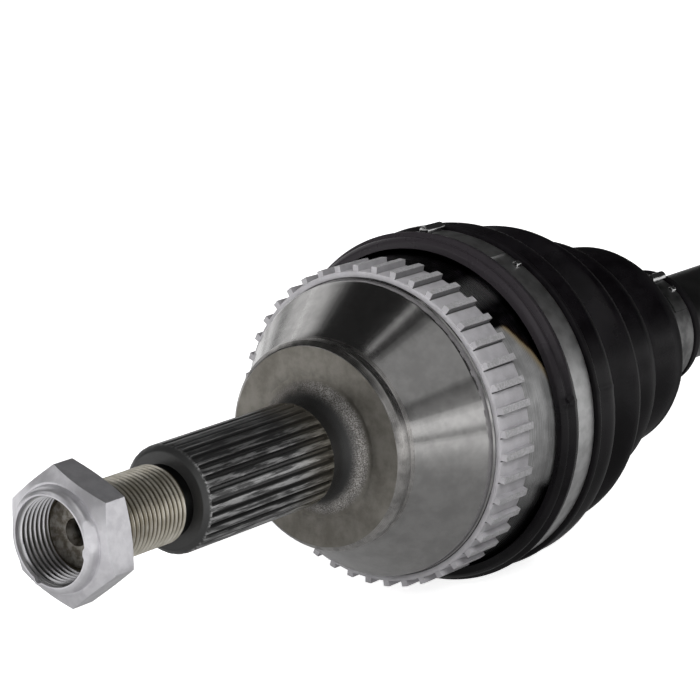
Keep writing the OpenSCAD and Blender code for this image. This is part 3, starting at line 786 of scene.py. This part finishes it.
def boot_outline(length, seat_r, seat_len, band_r, ridges):
    """Outside and inside of a boot, both from the large end on, which is at x 0."""
    lip_r, band_end = band_r + LIP, LARGE_BAND_X + LARGE_BAND_W + BAND_GAP
    small_x = length - SMALL_END
    wave_end, small_back = small_x - BAND_GAP, small_x + SMALL_BAND_W + BAND_GAP
    points = [(band_end + a * (wave_end - band_end), lip_r - b * (lip_r - SMALL_SEAT))
              for a, b in ridges]
    wave = waves(points + [(wave_end, SMALL_SEAT + 1.2)])
    front = softened([(0, seat_r + SEAT_GAP), (0, lip_r - 2.2), (1, lip_r - 1.2),
                      (1.8, lip_r - 1.1), (2.1, lip_r - 1.6), (2.5, lip_r - 1.5), (3.4, lip_r),
                      (LARGE_BAND_X - BAND_GAP, lip_r - 0.3), (LARGE_BAND_X - BAND_GAP, band_r),
                      (band_end, band_r), (band_end, lip_r - 0.3), (band_end + 1.2, lip_r),
                      wave[0]], 0.35)[:-1]
    end = softened([wave[-1], (wave_end, SMALL_SEAT), (small_back, SMALL_SEAT),
                    (small_back + 0.4, SMALL_SEAT + 1.2), (length, SMALL_SEAT + 0.8),
                    (length, BAR_R + SEAT_GAP)], 0.3)[1:]
    inside = [(0, seat_r + SEAT_GAP), (seat_len + 0.01, seat_r + SEAT_GAP)]
    inside += [(x, max(r - WALL, BAR_R + 1.15)) for x, r in wave
               if seat_len + 1 < x < small_x - 5]
    inside += [(small_x - 4, BAR_R + SEAT_GAP), (length, BAR_R + SEAT_GAP)]
    return front + wave + end, inside


def one_side(points, seam, keep_low):
    """The part of a line of (x, r) points on one side of the seam, ending on it."""
    done = []
    for (x0, r0), (x1, r1) in zip(points, points[1:]):
        low0, low1 = x0 <= seam, x1 <= seam
        if low0 == keep_low:
            done.append((x0, r0))
        if low0 != low1:
            t = (seam - x0) / (x1 - x0)
            done.append((seam, r0 + t * (r1 - r0)))
    if (points[-1][0] <= seam) == keep_low:
        done.append(points[-1])
    return done


def boot(name, start, way, shape, seam, halves):
    """A boot in two pieces that meet on a ridge, the seam, which lies that far from its start.

    halves holds two bodies and two places along the shaft for each half, which are not used.
    """
    outside, inside = boot_outline(*shape)
    band_r = shape[3]
    for (piece, low), (bodies, bend) in zip((("large_half", True), ("small_half", False)), halves):
        ring = one_side(outside, seam, low) + one_side(inside, seam, low)[::-1]
        bm = revolved([(start + way * x, r) for x, r in ring], 320, closed=True)
        for v in bm.verts:
            # The mould's line across the large end, with a nub on the lip
            r, angle = polar(v)
            along = (v.co.x - start) * way
            if along < 42 and r > band_r + 0.5:
                line = smooth(1.6 - away(angle, 168.75) / 0.9)
                nub = smooth(1.5 - abs(along - 1.6) / 1.6)
                set_polar(v, r + line * (0.25 + 0.5 * nub), angle)
        obj = finished(bm, name + "_" + piece, [RUBBER], None, [name], sharp=40)
        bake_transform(obj)


boot("outer_boot", OUTER_BOOT_X, 1, (OUTER_BOOT_LEN, BODY_R, 16.9, OUTER_BAND_R, OUTER_RIDGES),
     41.84, ((("outer_housing", "outer_cage"), (64, 87.44)),
             (("outer_cage", "shaft"), (87.44, 117))))
boot("inner_boot", INNER_BOOT_X, -1, (INNER_BOOT_LEN, 40.7, 16.1, INNER_BAND_R, INNER_RIDGES),
     41.61, ((("inner_boot", "inner_housing"), (395.974, 420)),
             (("shaft", "inner_boot"), (371, 395.974))))


# ---------------------------------------------------------------- band clamps

BAND_T, LAP_T = 0.8, 0.4
# Degrees round the shaft: where the fold is, how long the lap is from there, where the tooth is
LARGE_ENDS, SMALL_ENDS = (86, 27, 119), (110, 40, 127)


def creases(bm):
    """The edges between faces that are turned by more than one radian."""
    return [e for e in bm.edges if e.calc_face_angle(0) > 1]


def band(name, body, x, width, r, ends, look):
    """A band with its lapped end, rolled fold and locking tooth."""
    fold, lap, tooth = ends
    inner = r + 0.12
    outer = inner + BAND_T

    def done(bm, kind, mat):
        finished(bm, name + "_" + kind, [mat], body, [name + "_clamp"], sharp=35)

    def put(bm, along, out, angle):
        bmesh.ops.translate(bm, verts=bm.verts, vec=(x + along, outer + out, 0))
        turn(bm, bm.verts, radians(angle))

    done(revolved(softened([(x + 2, inner), (x, inner), (x, outer), (x + width, outer),
                            (x + width, inner), (x + 2.1, inner)], 0.22), 320, closed=True),
         "band", look)

    low, high = x + 0.1 * width, x + 0.9 * width
    bm = swept([(low, outer - 0.05), (low, outer + LAP_T), (high, outer + LAP_T),
                (high, outer - 0.05)], fold, lap, 40)
    rounded(bm, creases(bm), 0.1)
    done(bm, "lap", look)

    bm = bmesh.new()
    bmesh.ops.create_cone(bm, cap_ends=True, segments=28, radius1=1.5, radius2=1.5,
                          depth=0.9 * width)
    turn(bm, bm.verts, radians(90), "Y")
    rounded(bm, creases(bm), 0.3)
    put(bm, width / 2, 1.1, fold)
    done(bm, "fold", GROUND)

    bm = bmesh.new()
    bmesh.ops.create_cube(bm, size=1)
    bmesh.ops.scale(bm, vec=(2.4, 1.6, 2.4), verts=bm.verts)
    bmesh.ops.scale(bm, vec=(0.8, 1, 0.6), verts=[v for v in bm.verts if v.co.y > 0])
    rounded(bm, bm.edges[:], 0.3, segments=3)
    put(bm, 0.74 * width, LAP_T, tooth)
    done(bm, "tooth", GROUND)


band("outer_large", "outer_housing", OUTER_BOOT_X + LARGE_BAND_X, LARGE_BAND_W, OUTER_BAND_R,
     LARGE_ENDS, BAND)
band("outer_small", "shaft", OUTER_BOOT_X + OUTER_BOOT_LEN - SMALL_END, SMALL_BAND_W, SMALL_SEAT,
     SMALL_ENDS, SHADED_BAND)
band("inner_large", "inner_housing", INNER_BOOT_X - LARGE_BAND_X - LARGE_BAND_W, LARGE_BAND_W,
     INNER_BAND_R, LARGE_ENDS, BAND)
band("inner_small", "shaft", INNER_BOOT_X - INNER_BOOT_LEN + SMALL_END - SMALL_BAND_W,
     SMALL_BAND_W, SMALL_SEAT, SMALL_ENDS, SHADED_BAND)


# ---------------------------------------------------------------- studio

# Places and sizes of the studio are in metres.
BELL_PLACE = (0.02, 0, 0)
FLOOR_Z = -0.0490


def staged(name, data, where, target=None):
    obj = bpy.data.objects.new(name, data)
    bpy.context.scene.collection.objects.link(obj)
    obj.location = where
    if target:
        way = Vector(target) - Vector(where)
        obj.rotation_euler = way.to_track_quat("-Z", "Y").to_euler()
    return obj


def glowing(name, mesh, width, height, light, soft):
    """Emission of that radiance, fading out over the outer part of the plane."""
    look = Look(name, Base_Color=grey(0), Specular_IOR_Level=0.0, Emission_Strength=1.0)
    edge = 1.0
    for place, size in ((look.x, 1000 * width), (look.y, 1000 * height)):
        edge = (0.5 - (place / size).math("ABSOLUTE")).ramp(0, soft) * edge
    look.set(Emission_Color=look.mix(edge, grey(0.02), grey(light)))
    mesh.materials.append(look.material)


def plane(name, width, height):
    bm = bmesh.new()
    bmesh.ops.create_grid(bm, x_segments=1, y_segments=1, size=0.5)
    bmesh.ops.scale(bm, vec=(width, height, 1), verts=bm.verts)
    mesh = bpy.data.meshes.new(name)
    bm.to_mesh(mesh)
    bm.free()
    return mesh


def card(name, where, width, height, light, soft=0.25, target=BELL_PLACE):
    """A plane that faces its target and is seen only in the gloss of metal and rubber."""
    mesh = plane(name, width, height)
    obj = staged(name, mesh, where, target)
    glowing(name, mesh, width, height, light, soft)
    obj.visible_camera = False
    obj.visible_shadow = False
    obj.visible_diffuse = False


def lamp(name, where, size, power):
    """An area lamp that lights the shaft but isn't seen in its gloss."""
    data = bpy.data.lights.new(name, "AREA")
    data.energy = power
    data.size = size
    staged(name, data, where, BELL_PLACE).visible_glossy = False


def gloss_or_transmission(nodes, path):
    return nodes.other(path, "Is Glossy Ray").math(
        "MAXIMUM", nodes.other(path, "Is Transmission Ray"))


def surroundings():
    """White where it is seen or mirrored, and dim as a light."""
    world = bpy.data.worlds.new("studio")
    bpy.context.scene.world = world
    world.use_nodes = True
    nodes = Nodes(world.node_tree)
    background = nodes.tree.nodes["Background"]
    camera_ray = nodes.add("ShaderNodeLightPath", {}, out="Is Camera Ray")
    seen = camera_ray.math("MAXIMUM", gloss_or_transmission(nodes, camera_ray))
    nodes.plug(background.inputs["Strength"], 1)
    nodes.plug(background.inputs["Color"], nodes.mix(seen, grey(0.06), grey(1.0)))


def floor():
    """White to the camera, and in gloss darker near the shaft, a painted shadow."""
    mesh = plane("floor", 12, 12)
    staged("floor", mesh, (0, 0, FLOOR_Z))
    look = Look("floor_paint", Roughness=0.9, Specular_IOR_Level=0.0, Emission_Strength=1.0)
    camera_ray = look.add("ShaderNodeLightPath", {}, out="Is Camera Ray")
    gloss = gloss_or_transmission(look, camera_ray)
    near = ((look.x - 40) * (look.x - 40) + look.y * look.y) ** 0.5
    # Painted shadow: in gloss the floor is darker near the shaft.
    in_gloss = look.mix(near.ramp(60, 450), grey(0.26), grey(0.95))
    look.set(Base_Color=look.mix(camera_ray, grey(0.12), grey(1.0)),
             Emission_Color=look.mix(camera_ray, look.mix(gloss, grey(0.4), in_gloss),
                                     grey(0.85)))
    mesh.materials.append(look.material)


def camera():
    """The place and direction from which the photo was taken."""
    place = Vector((-0.5470, -0.4309, 0.2012))
    right = Vector((0.6085, -0.7935, 0)).normalized()
    forward = Vector((0.7695, 0.5901, -0.2443)).normalized()
    up = right.cross(forward).normalized()
    facing = Matrix((right, up, -forward)).transposed().to_4x4()
    obj = bpy.data.objects.new("camera", bpy.data.cameras.new("camera"))
    bpy.context.scene.collection.objects.link(obj)
    obj.data.lens, obj.data.sensor_width = 144.95, 36
    obj.data.clip_start = 0.01
    obj.matrix_world = Matrix.Translation(place) @ facing
    bpy.context.scene.camera = obj


surroundings()
floor()
lamp("key", (-0.8, -1.2, 1.2), 0.9, 30)
lamp("fill", (-1.2, 0.5, 0.7), 0.9, 12)
# Dark walls and ceiling, open above the horizon behind the shaft
card("dark_top", (0, 0, 2.4), 6, 6, 0.03, 0.01, (0, 0.001, 0))
card("dark_back", (2.5, 0, 1.3), 5.4, 2.2, 0.03, 0.01, (0, 0, 1.3))
card("dark_left", (0, 2.5, 1.3), 5.4, 2.4, 0.03, 0.01, (0, 0, 1.3))
card("dark_right", (0, -2.5, 1.25), 5.4, 2.5, 0.04, 0.01, (0, 0, 1.25))
card("dark_front", (-2.5, 0, 1.2), 5.4, 2.6, 0.05, 0.01, (0, 0, 1.2))
# Bright cards for the gloss of the cone, ring, nut and boot
card("left_card", (0.36, 1.0, 0.5), 1.1, 1.2, 0.95, 0.38, (0.02, 0, 0.2))
card("left_line", (0.3, 0.97, 0.46), 0.8, 0.04, 2.2, 0.4)
card("top_strip", (0.0, 0.0, 1.0), 0.9, 0.06, 1.2, 0.3, (0.0, 0.001, 0))
card("top_card", (-0.33, -0.68, 0.93), 1.0, 1.1, 0.48, 0.12)
card("right_soft", (0.1, -1.05, 0.42), 2.4, 0.5, 0.42, 0.4, (0.1, 0, 0.2))
card("right_strip", (0.2, -1.0, 0.17), 3.0, 0.3, 1.3, 0.2, (0.2, 0, 0.02))
card("right_gap", (0.2, -0.95, -0.005), 3.0, 0.03, 0.05, 0.1, (0.2, 0, -0.005))
card("front_card", (-1.3, -0.75, 0.55), 1.2, 0.8, 0.95)
card("front_left_card", (-1.0, 0.77, 0.53), 0.9, 0.55, 0.85, 0.3, (-0.09, 0, 0.02))
card("nut_card", (0.5, 0.64, 0.08), 0.42, 0.3, 1.2, 0.25, (-0.06, 0, 0.015))
camera()
bpy.context.scene.view_settings.view_transform = "Standard"
